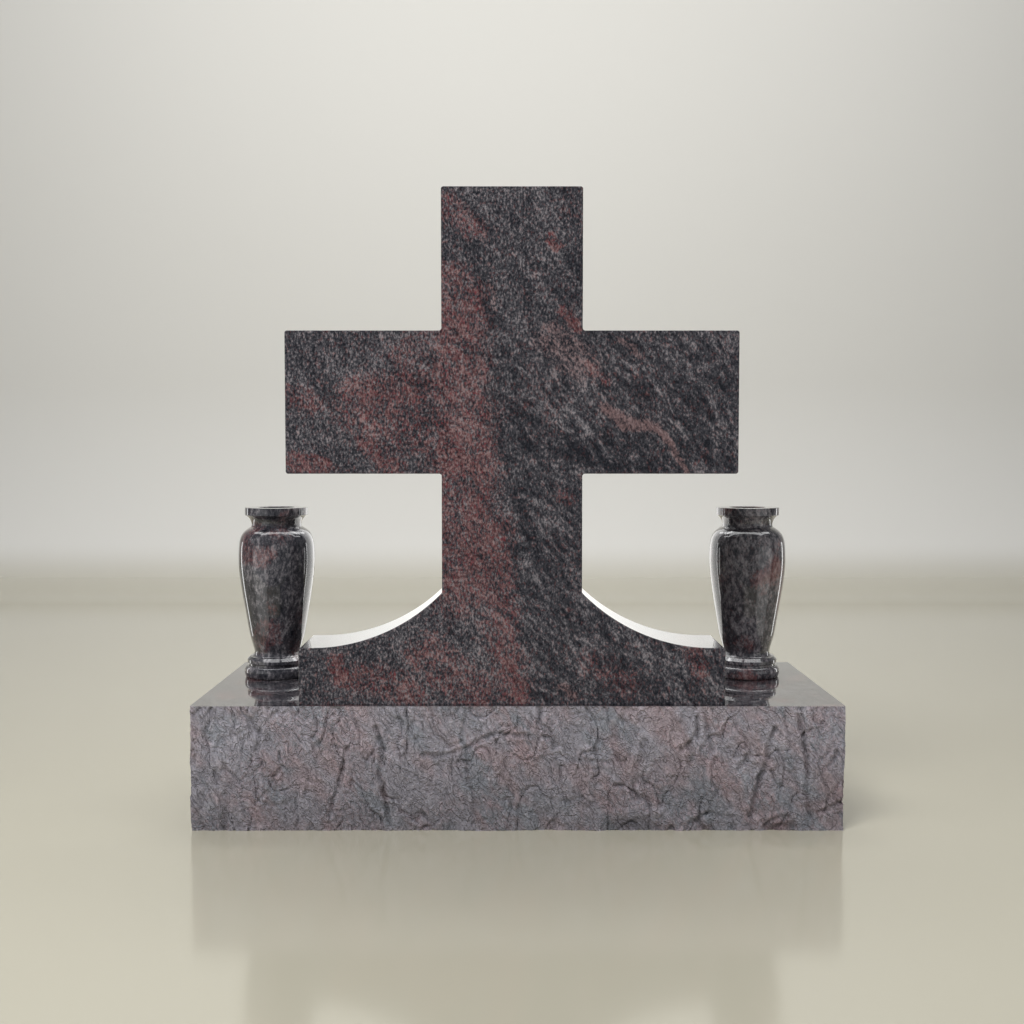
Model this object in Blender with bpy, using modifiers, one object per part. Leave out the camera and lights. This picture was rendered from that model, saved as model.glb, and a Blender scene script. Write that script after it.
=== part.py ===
"""A granite cross headstone: a plain Latin cross with a flared foot, on a rock-pitched plinth between two turned vases.

Metres, +Z up. The origin is the middle of the plinth's underside, and the front faces -Y.
"""

import math

import bmesh
import bpy
from mathutils import Matrix, Vector, noise

# Plinth: the overall box that the rock faces reach
PLINTH_WIDTH = 0.784
PLINTH_DEPTH = 0.307
PLINTH_HEIGHT = 0.150
# The polished top ends in a straight arris, set back from the rock face's furthest point
TOP_ARRIS_SETBACK = 0.0015
# Rock faces: how deep the hollows go, how far apart they lie, and how the foot of the face draws in
ROCK_DEPTH = 0.0032
ROCK_WAVE = 0.075
ROCK_SPALL_WAVE = 0.032
ROCK_LEAD_IN = 0.020
FOOT_DRAW_IN = 0.0010
FOOT_DRAW_HEIGHT = 0.050
ROCK_CELL = 0.021
# The hidden back is dressed flatter than the front and the ends
BACK_RELIEF_SHARE = 0.6

# The cross and its vases stand a little left of the plinth's middle
CENTRE_LINE_X = -0.0067
# Pieces that rest on the plinth keep this gap under them
SEAT_GAP = 0.0003

# Cross
CROSS_HEIGHT = 0.613
CROSS_THICKNESS = 0.105
CROSS_SETBACK = 0.0085
UPRIGHT_WIDTH = 0.167
CROSSBAR_WIDTH = 0.537
CROSSBAR_HEIGHT = 0.169
HEAD_HEIGHT = 0.168
# Foot of the cross: short upright ends, a short level run, then a hollow curve up to the upright
FOOT_WIDTH = 0.5105
FOOT_END_HEIGHT = 0.068
FOOT_LEVEL_RUN = 0.0152
FOOT_CURVE_RADIUS = 0.218
CORNER_RADIUS = 0.003
ARRIS = 0.0015
CORNER_STEPS = 4
FOOT_CURVE_STEPS = 22

# Vases: how far their axes stand in from the plinth's ends and behind its top front arris
VASE_END_MARGIN = 0.0745
VASE_BEHIND_ARRIS = 0.204
TURNING_STEPS = 36
# Foot of the vase: a full torus, a narrow groove and a collar with a bevelled top edge
TORUS_FOOT_RADIUS = 0.0415
TORUS_RADIUS = 0.0443
TORUS_GREATEST_HEIGHT = 0.0082
TORUS_HEIGHT = 0.0158
GROOVE_RADIUS = 0.0386
GROOVE_HEIGHT = 0.0028
COLLAR_RADIUS = 0.0404
COLLAR_HEIGHT = 0.0088
COLLAR_FOOT_CHAMFER = 0.0010
COLLAR_BEVEL = 0.0038
# Waist: a small cove down to the collar's top
WAIST_RADIUS = 0.0309
WAIST_COVE_WIDTH = 0.0050
WAIST_COVE_HEIGHT = 0.0060
# Body: a stem that opens from the waist, then a long swell to the belly
STEM_HEIGHT = 0.0266
STEM_RADIUS = 0.0376
STEM_SLOPE = 0.165
SWELL_HEIGHT = 0.0970
BELLY_RADIUS = 0.0508
# Shoulder and neck
SHOULDER_HEIGHT = 0.0445
NECK_FOOT_RADIUS = 0.0340
NECK_HEIGHT = 0.0158
NECK_HOLLOW = 0.0021
RIM_RADIUS = 0.0419
RIM_HEIGHT = 0.0104
RIM_OVERHANG = 0.0011
RIM_ARRIS = 0.0006
# Flower bore
BORE_RADIUS = 0.024
BORE_FLOOR = 0.055
BORE_ARRIS = 0.0010

MERGE_DISTANCE = 0.00005
SHARP_ANGLE = math.radians(30)

POLISHED_COLOUR = (0.076, 0.061, 0.065, 1.0)
POLISHED_ROUGHNESS = 0.07
PITCHED_COLOUR = (0.168, 0.152, 0.160, 1.0)
PITCHED_ROUGHNESS = 0.55


def top_arris_front():
    """Y of the polished top's front edge."""
    return TOP_ARRIS_SETBACK - PLINTH_DEPTH / 2


def granite(name, colour, roughness):
    material = bpy.data.materials.new(name)
    material.use_nodes = True
    shader = material.node_tree.nodes["Principled BSDF"]
    shader.inputs["Base Color"].default_value = colour
    shader.inputs["Roughness"].default_value = roughness
    shader.inputs["Metallic"].default_value = 0.0
    return material


def add_piece(name, mesh, material, collection, location=(0.0, 0.0, 0.0)):
    piece = bpy.data.objects.new(name, mesh)
    piece.location = location
    if not mesh.materials:
        mesh.materials.append(material)
    collection.objects.link(piece)
    return piece


def smooth_step(value):
    value = min(1.0, max(0.0, value))
    return value * value * (3.0 - 2.0 * value)


def rock_depth(point):
    """How far the rock face lies inside the plinth's box at this point, from 0 to about ROCK_DEPTH."""
    wave = noise.noise(point / ROCK_WAVE)
    spall = 1.0 - abs(noise.noise(point / ROCK_SPALL_WAVE + Vector((3.7, 1.9, 8.2))))
    hollow = 0.30 - 0.80 * wave + 0.45 * (1.0 - spall)
    below_arris = smooth_step((PLINTH_HEIGHT - point.z) / ROCK_LEAD_IN)
    draw_in = FOOT_DRAW_IN * smooth_step(1.0 - point.z / FOOT_DRAW_HEIGHT)
    relief = ROCK_DEPTH * min(1.0, max(0.0, hollow)) + draw_in
    if point.y > PLINTH_DEPTH / 2 - ROCK_DEPTH:
        relief *= BACK_RELIEF_SHARE
    return TOP_ARRIS_SETBACK + (relief - TOP_ARRIS_SETBACK) * below_arris


def cuts_along(length):
    """Evenly spaced places, about a rock cell apart, between the two ends of an edge of this length."""
    count = max(2, round(length / ROCK_CELL))
    return [length * (index / count - 0.5) for index in range(1, count)]


def plinth_mesh():
    shape = bmesh.new()
    size = Vector((PLINTH_WIDTH, PLINTH_DEPTH, PLINTH_HEIGHT))
    raise_to_ground = Matrix.Translation((0.0, 0.0, PLINTH_HEIGHT / 2))
    bmesh.ops.create_cube(shape, size=1.0, matrix=raise_to_ground @ Matrix.Diagonal((*size, 1.0)))
    for axis, length in enumerate(size):
        normal = Vector((0.0, 0.0, 0.0))
        normal[axis] = 1.0
        centre = Vector((0.0, 0.0, PLINTH_HEIGHT / 2))
        for place in cuts_along(length):
            everything = shape.verts[:] + shape.edges[:] + shape.faces[:]
            bmesh.ops.bisect_plane(shape, geom=everything, plane_co=centre + normal * place, plane_no=normal)
    # The sawn top and underside are each one flat face again
    for level in (0.0, PLINTH_HEIGHT):
        flat = [face for face in shape.faces if all(abs(vert.co.z - level) < MERGE_DISTANCE for vert in face.verts)]
        bmesh.ops.dissolve_faces(shape, faces=flat, use_verts=True)
    half_width = PLINTH_WIDTH / 2
    half_depth = PLINTH_DEPTH / 2
    for vert in shape.verts:
        depth = rock_depth(vert.co)
        if abs(vert.co.x) > half_width - MERGE_DISTANCE:
            vert.co.x -= math.copysign(depth, vert.co.x)
        if abs(vert.co.y) > half_depth - MERGE_DISTANCE:
            vert.co.y -= math.copysign(depth, vert.co.y)
    # A middle point keeps the flat faces' triangles well shaped
    flat = [face for face in shape.faces if len(face.verts) > 4]
    bmesh.ops.poke(shape, faces=flat)
    bmesh.ops.triangulate(shape, faces=shape.faces[:])
    bmesh.ops.recalc_face_normals(shape, faces=shape.faces[:])
    mesh = bpy.data.meshes.new("plinth")
    shape.to_mesh(mesh)
    shape.free()
    mesh.shade_smooth()
    mesh.set_sharp_from_angle(angle=SHARP_ANGLE)
    return mesh


def rounded_corner(before, corner, after, radius, steps):
    """Points of the arc that rounds the corner between two straight runs."""
    back = (before - corner).normalized()
    ahead = (after - corner).normalized()
    half_angle = back.angle(ahead) / 2
    reach = radius / math.tan(half_angle)
    centre = corner + (back + ahead).normalized() * (radius / math.sin(half_angle))
    start = corner + back * reach - centre
    turn = start.angle_signed(corner + ahead * reach - centre)
    points = []
    for index in range(steps + 1):
        angle = -turn * index / steps
        across = Vector((-start.y, start.x))
        points.append(centre + start * math.cos(angle) + across * math.sin(angle))
    return points


def foot_curve():
    """The right-hand hollow curve of the foot, from the level run up to the upright."""
    centre = Vector((FOOT_WIDTH / 2 - FOOT_LEVEL_RUN, FOOT_END_HEIGHT + FOOT_CURVE_RADIUS))
    sweep = math.asin((centre.x - UPRIGHT_WIDTH / 2) / FOOT_CURVE_RADIUS)
    points = []
    for index in range(FOOT_CURVE_STEPS + 1):
        angle = sweep * index / FOOT_CURVE_STEPS
        points.append(centre - FOOT_CURVE_RADIUS * Vector((math.sin(angle), math.cos(angle))))
    return points


def cross_outline():
    """The cross seen from the front, with its foot on the X axis, as points that run anticlockwise."""
    foot = FOOT_WIDTH / 2
    shaft = UPRIGHT_WIDTH / 2
    arm = CROSSBAR_WIDTH / 2
    arm_top = CROSS_HEIGHT - HEAD_HEIGHT
    curve = foot_curve()
    corners = [
        Vector((foot, 0.0)),
        Vector((foot, FOOT_END_HEIGHT)),
        *curve,
        Vector((shaft, arm_top - CROSSBAR_HEIGHT)),
        Vector((arm, arm_top - CROSSBAR_HEIGHT)),
        Vector((arm, arm_top)),
        Vector((shaft, arm_top)),
        Vector((shaft, CROSS_HEIGHT)),
    ]
    mirrored = [Vector((-point.x, point.y)) for point in reversed(corners)]
    loop = corners + mirrored
    kept_plain = {0, len(loop) - 1}
    # Points along the hollow curve stay as they are, but its end at the upright is rounded like any corner
    first_on_curve = 2
    for index in range(first_on_curve, first_on_curve + len(curve) - 1):
        kept_plain |= {index, len(loop) - 1 - index}
    outline = []
    for index, corner in enumerate(loop):
        if index in kept_plain:
            outline.append(corner)
            continue
        after = loop[(index + 1) % len(loop)]
        outline += rounded_corner(loop[index - 1], corner, after, CORNER_RADIUS, CORNER_STEPS)
    return outline


def cross_mesh():
    curve = bpy.data.curves.new("cross_outline", "CURVE")
    curve.dimensions = "2D"
    curve.fill_mode = "BOTH"
    curve.extrude = CROSS_THICKNESS / 2 - ARRIS
    curve.bevel_depth = ARRIS
    curve.bevel_resolution = 0
    curve.offset = -ARRIS
    points = cross_outline()
    spline = curve.splines.new("POLY")
    spline.points.add(len(points) - 1)
    for slot, point in zip(spline.points, points):
        slot.co = (point.x, point.y, 0.0, 1.0)
    spline.use_cyclic_u = True
    guide = bpy.data.objects.new("cross_outline", curve)
    bpy.context.scene.collection.objects.link(guide)
    bpy.context.view_layer.update()
    mesh = bpy.data.meshes.new_from_object(guide.evaluated_get(bpy.context.evaluated_depsgraph_get()))
    mesh.name = "cross"
    bpy.data.objects.remove(guide)
    bpy.data.curves.remove(curve)
    shape = bmesh.new()
    shape.from_mesh(mesh)
    bmesh.ops.remove_doubles(shape, verts=shape.verts[:], dist=MERGE_DISTANCE)
    bmesh.ops.rotate(shape, verts=shape.verts[:], matrix=Matrix.Rotation(math.pi / 2, 3, "X"))
    bmesh.ops.recalc_face_normals(shape, faces=shape.faces[:])
    shape.to_mesh(mesh)
    shape.free()
    mesh.shade_smooth()
    mesh.set_sharp_from_angle(angle=SHARP_ANGLE)
    return mesh


def bezier(start, start_pull, end_pull, end, steps):
    """Points of a cubic curve after its start, up to and with its end."""
    points = []
    for index in range(1, steps + 1):
        t = index / steps
        s = 1.0 - t
        points.append(s**3 * start + 3 * s * s * t * start_pull + 3 * s * t * t * end_pull + t**3 * end)
    return points


def quarter(centre, reach_out, reach_up, from_angle, to_angle, steps):
    """Points of part of an ellipse round this centre, angles in quarter turns from +X towards +Z."""
    points = []
    for index in range(steps + 1):
        angle = math.pi / 2 * (from_angle + (to_angle - from_angle) * index / steps)
        points.append(centre + Vector((reach_out * math.cos(angle), reach_up * math.sin(angle))))
    return points


def vase_outer_profile():
    """The turned outside as (radius, height) points, from the edge of the underside up to the rim's top."""
    below = Vector((TORUS_FOOT_RADIUS, TORUS_GREATEST_HEIGHT))
    points = quarter(below, TORUS_RADIUS - TORUS_FOOT_RADIUS, TORUS_GREATEST_HEIGHT, -1.0, 0.0, 2)
    above = Vector((GROOVE_RADIUS, TORUS_GREATEST_HEIGHT))
    points += quarter(above, TORUS_RADIUS - GROOVE_RADIUS, TORUS_HEIGHT - TORUS_GREATEST_HEIGHT, 0.0, 1.0, 3)[1:]
    level = TORUS_HEIGHT + GROOVE_HEIGHT
    points.append(Vector((GROOVE_RADIUS, level)))
    points.append(Vector((COLLAR_RADIUS - COLLAR_FOOT_CHAMFER, level)))
    points.append(Vector((COLLAR_RADIUS, level + COLLAR_FOOT_CHAMFER)))
    level += COLLAR_HEIGHT
    points.append(Vector((COLLAR_RADIUS, level - COLLAR_BEVEL)))
    points.append(Vector((COLLAR_RADIUS - COLLAR_BEVEL, level)))
    cove = Vector((WAIST_RADIUS + WAIST_COVE_WIDTH, level + WAIST_COVE_HEIGHT))
    points += quarter(cove, WAIST_COVE_WIDTH, WAIST_COVE_HEIGHT, 3.0, 2.0, 3)
    waist = points[-1]
    stem = waist + Vector((STEM_RADIUS - WAIST_RADIUS, STEM_HEIGHT))
    lean = Vector((STEM_SLOPE, 1.0))
    points += bezier(waist, waist + Vector((0.0, STEM_HEIGHT * 0.13)), stem - lean * (STEM_HEIGHT * 0.33), stem, 3)
    belly = Vector((BELLY_RADIUS, stem.y + SWELL_HEIGHT))
    points += bezier(stem, stem + lean * (SWELL_HEIGHT * 0.36), belly - Vector((0.0, SWELL_HEIGHT * 0.25)), belly, 5)
    neck_foot = Vector((NECK_FOOT_RADIUS, belly.y + SHOULDER_HEIGHT))
    shoulder_pull = neck_foot + Vector((BELLY_RADIUS - NECK_FOOT_RADIUS, -SHOULDER_HEIGHT * 0.18)) * 0.9
    points += bezier(belly, belly + Vector((0.0, SHOULDER_HEIGHT * 0.6)), shoulder_pull, neck_foot, 7)
    rim_foot = Vector((RIM_RADIUS - RIM_OVERHANG, neck_foot.y + NECK_HEIGHT))
    inward = Vector((NECK_FOOT_RADIUS - NECK_HOLLOW, neck_foot.y + NECK_HEIGHT * 0.2))
    outward = Vector((NECK_FOOT_RADIUS, rim_foot.y - NECK_HEIGHT * 0.24))
    points += bezier(neck_foot, inward, outward, rim_foot, 5)
    rim_top = rim_foot.y + RIM_HEIGHT
    points.append(Vector((RIM_RADIUS, rim_foot.y + RIM_ARRIS)))
    points.append(Vector((RIM_RADIUS, rim_top - RIM_ARRIS)))
    points.append(Vector((RIM_RADIUS - RIM_ARRIS, rim_top)))
    return points


def vase_profile():
    """The whole section: out along the bore's floor, up the bore, over the rim, down the outside and in underneath."""
    outside = vase_outer_profile()
    rim_top = outside[-1].y
    bore = [
        Vector((0.0, BORE_FLOOR)),
        Vector((BORE_RADIUS, BORE_FLOOR)),
        Vector((BORE_RADIUS, rim_top - BORE_ARRIS)),
        Vector((BORE_RADIUS + BORE_ARRIS, rim_top)),
    ]
    return bore + outside[::-1] + [Vector((0.0, 0.0))]


def vase_mesh():
    profile = vase_profile()
    line = bpy.data.meshes.new("vase_profile")
    line.from_pydata(
        [(point.x, 0.0, point.y) for point in profile],
        [(index, index + 1) for index in range(len(profile) - 1)],
        [],
    )
    guide = bpy.data.objects.new("vase_profile", line)
    bpy.context.scene.collection.objects.link(guide)
    turning = guide.modifiers.new("Turning", "SCREW")
    turning.axis = "Z"
    turning.angle = math.tau
    turning.steps = TURNING_STEPS
    turning.render_steps = TURNING_STEPS
    turning.use_merge_vertices = True
    turning.merge_threshold = MERGE_DISTANCE
    bpy.context.view_layer.update()
    mesh = bpy.data.meshes.new_from_object(guide.evaluated_get(bpy.context.evaluated_depsgraph_get()))
    mesh.name = "vase"
    bpy.data.objects.remove(guide)
    bpy.data.meshes.remove(line)
    mesh.shade_smooth()
    mesh.set_sharp_from_angle(angle=SHARP_ANGLE)
    return mesh


def main():
    for old in list(bpy.data.objects):
        bpy.data.objects.remove(old)
    headstone = bpy.data.collections.new("cross_headstone")
    bpy.context.scene.collection.children.link(headstone)

    pitched = granite("pitched_granite", PITCHED_COLOUR, PITCHED_ROUGHNESS)
    cross_stone = granite("cross_granite", POLISHED_COLOUR, POLISHED_ROUGHNESS)
    vase_stone = granite("vase_granite", POLISHED_COLOUR, POLISHED_ROUGHNESS)

    seat = PLINTH_HEIGHT + SEAT_GAP
    add_piece("plinth", plinth_mesh(), pitched, headstone)
    cross_y = top_arris_front() + CROSS_SETBACK + CROSS_THICKNESS / 2
    add_piece("cross", cross_mesh(), cross_stone, headstone, (CENTRE_LINE_X, cross_y, seat))
    turned = vase_mesh()
    vase_y = top_arris_front() + VASE_BEHIND_ARRIS
    vase_offset = PLINTH_WIDTH / 2 - VASE_END_MARGIN
    for name, side in (("left_vase", -1), ("right_vase", 1)):
        place = (CENTRE_LINE_X + side * vase_offset, vase_y, seat)
        add_piece(name, turned, vase_stone, headstone, place)


main()
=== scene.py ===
"""A granite cross headstone on a rock-pitched plinth between two turned vases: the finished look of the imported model.

Metres, +Z up, the front faces -Y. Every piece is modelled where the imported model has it.
"""

import math

import bmesh
import bpy
import numpy as np
from bpy.props import FloatProperty, FloatVectorProperty, IntProperty, IntVectorProperty, PointerProperty
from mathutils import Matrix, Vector, noise


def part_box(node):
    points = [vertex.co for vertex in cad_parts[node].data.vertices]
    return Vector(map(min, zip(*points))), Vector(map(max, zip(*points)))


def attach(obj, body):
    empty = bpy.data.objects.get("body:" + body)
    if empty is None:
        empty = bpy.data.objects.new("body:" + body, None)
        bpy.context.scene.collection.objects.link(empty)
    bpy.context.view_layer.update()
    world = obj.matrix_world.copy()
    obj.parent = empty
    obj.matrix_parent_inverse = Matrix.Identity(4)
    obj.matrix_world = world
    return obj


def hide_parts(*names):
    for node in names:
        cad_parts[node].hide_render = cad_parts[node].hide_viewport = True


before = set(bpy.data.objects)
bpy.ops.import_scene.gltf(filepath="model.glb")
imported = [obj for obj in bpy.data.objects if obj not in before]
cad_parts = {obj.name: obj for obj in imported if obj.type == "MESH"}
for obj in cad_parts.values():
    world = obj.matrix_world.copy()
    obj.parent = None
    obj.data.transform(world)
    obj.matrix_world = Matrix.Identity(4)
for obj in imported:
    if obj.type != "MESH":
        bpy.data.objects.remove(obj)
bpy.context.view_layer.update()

bl_info = {
    "name": "Cross Headstone",
    "version": (1, 0, 0),
    "blender": (4, 5, 0),
    "location": "3D View > Sidebar > Headstone",
    "description": "Builds a polished granite cross on a rock-pitched plinth with two turned vases",
    "category": "Object",
}

CROSS_LOW, CROSS_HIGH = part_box("cross")
PLINTH_LOW, PLINTH_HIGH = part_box("plinth")
VASE_BOXES = {name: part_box(name) for name in ("left_vase", "right_vase")}
CENTRE_X = (CROSS_LOW.x + CROSS_HIGH.x) / 2
MM = 0.001
# Points nearer than this are in the same place
TINY = 0.00002
# An edge or a normal that has more than this share of its length along an axis runs square
SQUARE = 0.99


def length(name, description, default):
    return FloatProperty(name=name, description=description, default=default, min=0.0, unit="LENGTH", precision=4)


def colour(name, description, default):
    return FloatVectorProperty(name=name, description=description, default=default, subtype="COLOR", min=0, max=1)


def share(name, description, default):
    return FloatProperty(name=name, description=description, default=default, min=0.0, subtype="FACTOR")


def divisions(name, description, default):
    return IntVectorProperty(name=name, description=description, default=default, size=2, min=2, max=100)


class CrossSizes(bpy.types.PropertyGroup):
    """Sizes of the cross that its box doesn't give."""

    upright_width: length("Upright width", "Width of the upright", 0.167)
    crossbar_height: length("Crossbar height", "Height of the crossbar", 0.169)
    head_height: length("Head height", "Height of the head above the crossbar", 0.168)
    foot_width: length("Foot width", "Width across the flared foot", 0.5105)
    foot_end_height: length("Foot end height", "Height of the foot's upright ends", 0.068)
    foot_level_run: length("Level run", "Level run at each end of the foot", 0.0152)
    foot_curve_radius: length("Foot curve radius", "Radius of the foot's hollow curve", 0.218)
    corner_radius: length("Corner radius", "Rounding of the outline's corners", 0.003)
    junction_share: share("Junction rounding", "Rounding over the foot's curves as a share of the corners'", 0.41)
    arris: length("Arris", "Width of the eased edges", 0.0015)
    curve_steps: IntProperty(name="Curve steps", description="Faces along each hollow curve", default=48, min=4)


class PlinthSizes(bpy.types.PropertyGroup):
    """Sizes of the rock faces."""

    arris_setback: length("Arris setback", "How far the polished top stops short of the rock face", 0.0015)
    rock_depth: length("Rock depth", "Depth of the hollows in the rock faces", 0.0032)
    rock_wave: length("Rock wave", "Distance between broad hollows", 0.075)
    spall_wave: length("Spall wave", "Distance between spalls", 0.032)
    lead_in: length("Lead-in", "Height below the arris over which the relief grows", 0.020)
    foot_draw_in: length("Foot draw-in", "How far the face draws in at the ground", 0.0010)
    foot_draw_height: length("Draw-in height", "Height over which the face draws in", 0.050)
    back_share: share("Back relief", "Relief of the hidden back as a share of the front's", 0.6)
    corner_radius: length("Corner radius", "Rounding of the upright corners", 0.0035)
    wrinkle_size: length("Wrinkle size", "Distance between the rucks of the broken stone", 0.0110)
    wrinkle_depth: length("Wrinkle depth", "Depth of the rucks", 0.0020)
    tooth_size: length("Tooth size", "Size of the broken crystals", 0.0040)
    tooth_depth: length("Tooth depth", "How far the broken crystals stand out", 0.0005)
    front_cells: divisions("Front cells", "Mesh cells along the front, in two divisions", (5, 100))
    back_cells: divisions("Back cells", "Mesh cells along the back, in two divisions", (2, 100))
    end_cells: divisions("End cells", "Mesh cells along each end, in two divisions", (2, 75))
    height_cells: divisions("Height cells", "Mesh cells up each face, in two divisions", (2, 48))


class VaseSizes(bpy.types.PropertyGroup):
    """Sizes of the turned vases, from the foot up."""

    torus_foot_radius: length("Torus foot radius", "Radius of the vase's underside", 0.0415)
    torus_radius: length("Torus radius", "Greatest radius of the foot's torus", 0.0443)
    torus_middle: length("Torus middle", "Height of the torus's greatest radius", 0.0082)
    torus_height: length("Torus height", "Height of the foot's torus", 0.0158)
    groove_radius: length("Groove radius", "Radius of the groove over the torus", 0.0386)
    groove_height: length("Groove height", "Height of the groove", 0.0028)
    collar_radius: length("Collar radius", "Radius of the collar", 0.0404)
    collar_height: length("Collar height", "Height of the collar", 0.0088)
    collar_chamfer: length("Collar chamfer", "Chamfer of the collar's lower edge", 0.0010)
    collar_bevel: length("Collar bevel", "Bevel of the collar's top edge", 0.0038)
    waist_radius: length("Waist radius", "Radius of the waist", 0.0309)
    cove_width: length("Cove width", "Width of the cove over the collar", 0.0050)
    cove_height: length("Cove height", "Height of the cove over the collar", 0.0060)
    stem_height: length("Stem height", "Height of the stem over the waist", 0.0266)
    stem_radius: length("Stem radius", "Radius at the stem's top", 0.0376)
    stem_slope: share("Stem slope", "Radius gained per length at the stem's top", 0.165)
    swell_height: length("Swell height", "Height from the stem to the belly", 0.0970)
    belly_radius: length("Belly radius", "Greatest radius of the body", 0.0508)
    shoulder_height: length("Shoulder height", "Height from the belly to the neck", 0.0445)
    neck_foot_radius: length("Neck radius", "Radius where the neck meets the shoulder", 0.0340)
    neck_height: length("Neck height", "Height of the neck", 0.0158)
    neck_hollow: length("Neck hollow", "How far the neck draws in", 0.0021)
    rim_radius: length("Rim radius", "Radius of the rim band", 0.0419)
    rim_height: length("Rim height", "Height of the rim band", 0.0104)
    rim_overhang: length("Rim overhang", "How far the rim stands out over the neck", 0.0011)
    rim_arris: length("Rim arris", "Rounding of the rim's edges", 0.0006)
    bore_radius: length("Bore radius", "Radius of the bore", 0.024)
    bore_floor: length("Bore floor", "Height of the bore's floor over the vase's underside", 0.055)
    bore_arris: length("Bore arris", "Rounding of the bore's mouth", 0.0010)
    turning_steps: IntProperty(name="Turning steps", description="Faces round each vase", default=128, min=12)


class GraniteLook(bpy.types.PropertyGroup):
    """Colours and grain of the stone."""

    dark: colour("Dark mineral", "Colour of the black grains", (0.0068, 0.0082, 0.0128))
    grey: colour("Grey mineral", "Colour of the grey ground", (0.054, 0.053, 0.062))
    pale: colour("Pale mineral", "Colour of the pale grains", (0.275, 0.255, 0.270))
    red_dark: colour("Dark red mineral", "Colour of the dark red grains", (0.028, 0.009, 0.010))
    red: colour("Red mineral", "Colour of the red grains", (0.128, 0.058, 0.060))
    rose: colour("Rose mineral", "Colour of the pink grains", (0.290, 0.190, 0.185))
    garnet: colour("Garnet", "Colour of the small crimson crystals", (0.190, 0.026, 0.036))
    grain: length("Grain", "Size of the grains", 0.0030)
    polish: share("Polish roughness", "Roughness of the polished faces", 0.06)
    rock_tint: colour("Broken stone", "Colour of the broken faces", (0.255, 0.243, 0.275))
    rock_rose: colour("Rosy broken stone", "Colour of the broken faces' rosy patches", (0.275, 0.224, 0.242))
    rock_blue: colour("Blue broken stone", "Colour of the broken faces' blue patches", (0.210, 0.217, 0.246))
    rock_roughness: share("Rock roughness", "Roughness of the broken faces", 0.62)


class StudioSettings(bpy.types.PropertyGroup):
    """Camera, floor, backdrop and lights."""

    lens: FloatProperty(name="Lens", description="Focal length on a 36 mm sensor", default=42.42, unit="CAMERA")
    camera_distance: length("Camera distance", "From the plinth's front to the camera", 1.4216)
    camera_height: length("Camera height", "Height of the camera over the ground", 0.4511)
    camera_pitch: FloatProperty(
        name="Camera pitch", description="How far the camera looks down", default=0.0490, subtype="ANGLE"
    )
    floor_colour: colour("Floor", "Colour of the floor", (0.49, 0.46, 0.36))
    wall_colour: colour("Backdrop", "Colour of the backdrop", (0.78, 0.765, 0.72))
    air: share("Air", "Brightness of the surroundings", 0.20)


# Pieces


def start_piece():
    """Object mode, with nothing selected."""
    if bpy.context.object and bpy.context.object.mode != "OBJECT":
        bpy.ops.object.mode_set(mode="OBJECT")
    bpy.ops.object.select_all(action="DESELECT")


def pick(piece):
    """Object mode, with this piece alone selected and active."""
    start_piece()
    piece.select_set(True)
    bpy.context.view_layer.objects.active = piece


def add_box(name, low, high):
    """A box primitive between two corners, with its size and place in its mesh."""
    start_piece()
    bpy.ops.mesh.primitive_cube_add(size=1.0, location=(low + high) / 2, scale=high - low)
    bpy.ops.object.transform_apply(location=True, rotation=True, scale=True)
    piece = bpy.context.object
    piece.name = name
    piece.data.name = name
    return piece


def select_where(kind, test):
    """Selects the vertices, edges or faces of the mesh being edited that pass the test, and nothing else."""
    bpy.ops.mesh.select_mode(type=kind)
    bpy.ops.mesh.select_all(action="DESELECT")
    mesh = bpy.context.edit_object.data
    shape = bmesh.from_edit_mesh(mesh)
    for part in {"VERT": shape.verts, "EDGE": shape.edges, "FACE": shape.faces}[kind]:
        if test(part):
            part.select_set(True)
    shape.select_flush_mode()
    bmesh.update_edit_mesh(mesh)


def bisect_level(height):
    bpy.ops.mesh.select_all(action="SELECT")
    bpy.ops.mesh.bisect(plane_co=(0.0, 0.0, height), plane_no=(0.0, 0.0, 1.0))


def extrude(offset):
    bpy.ops.mesh.extrude_region_move(TRANSFORM_OT_translate={"value": offset})


def finish_piece(piece, node, materials):
    """Gives the piece its materials and lights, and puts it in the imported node's stead."""
    for material in materials:
        piece.data.materials.append(material)
    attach(piece, "root")
    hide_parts(node)
    gather("stones", piece)


def gather(name, piece):
    """Adds the piece to the collection of this name, which the lights use to tell the pieces apart."""
    group = bpy.data.collections.get(name)
    if not group:
        group = bpy.data.collections.new(name)
        bpy.context.scene.collection.children.link(group)
    group.objects.link(piece)


def finish_mesh(piece, smooth_below, weighted=True):
    """Leaves edit mode with all faces outwards, smooth over edges that turn by less than this many degrees."""
    bpy.ops.mesh.select_all(action="SELECT")
    bpy.ops.mesh.normals_make_consistent(inside=False)
    bpy.ops.object.mode_set(mode="OBJECT")
    bpy.ops.object.shade_smooth_by_angle(angle=math.radians(smooth_below))
    if weighted:
        modifier = piece.modifiers.new("Weighted normals", "WEIGHTED_NORMAL")
        modifier.keep_sharp = True
        pick(piece)
        bpy.ops.object.modifier_apply(modifier=modifier.name)


def foot_curve(sizes):
    """The right-hand hollow curve, upright to level run, as places from the centre line and the foot's underside."""
    centre_x = sizes.foot_width / 2 - sizes.foot_level_run
    centre_z = sizes.foot_end_height + sizes.foot_curve_radius
    sweep = math.asin((centre_x - sizes.upright_width / 2) / sizes.foot_curve_radius)
    points = []
    for index in range(sizes.curve_steps + 1):
        angle = sweep * (1.0 - index / sizes.curve_steps)
        out, down = sizes.foot_curve_radius * math.sin(angle), sizes.foot_curve_radius * math.cos(angle)
        points.append((centre_x - out, centre_z - down))
    return points


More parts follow.
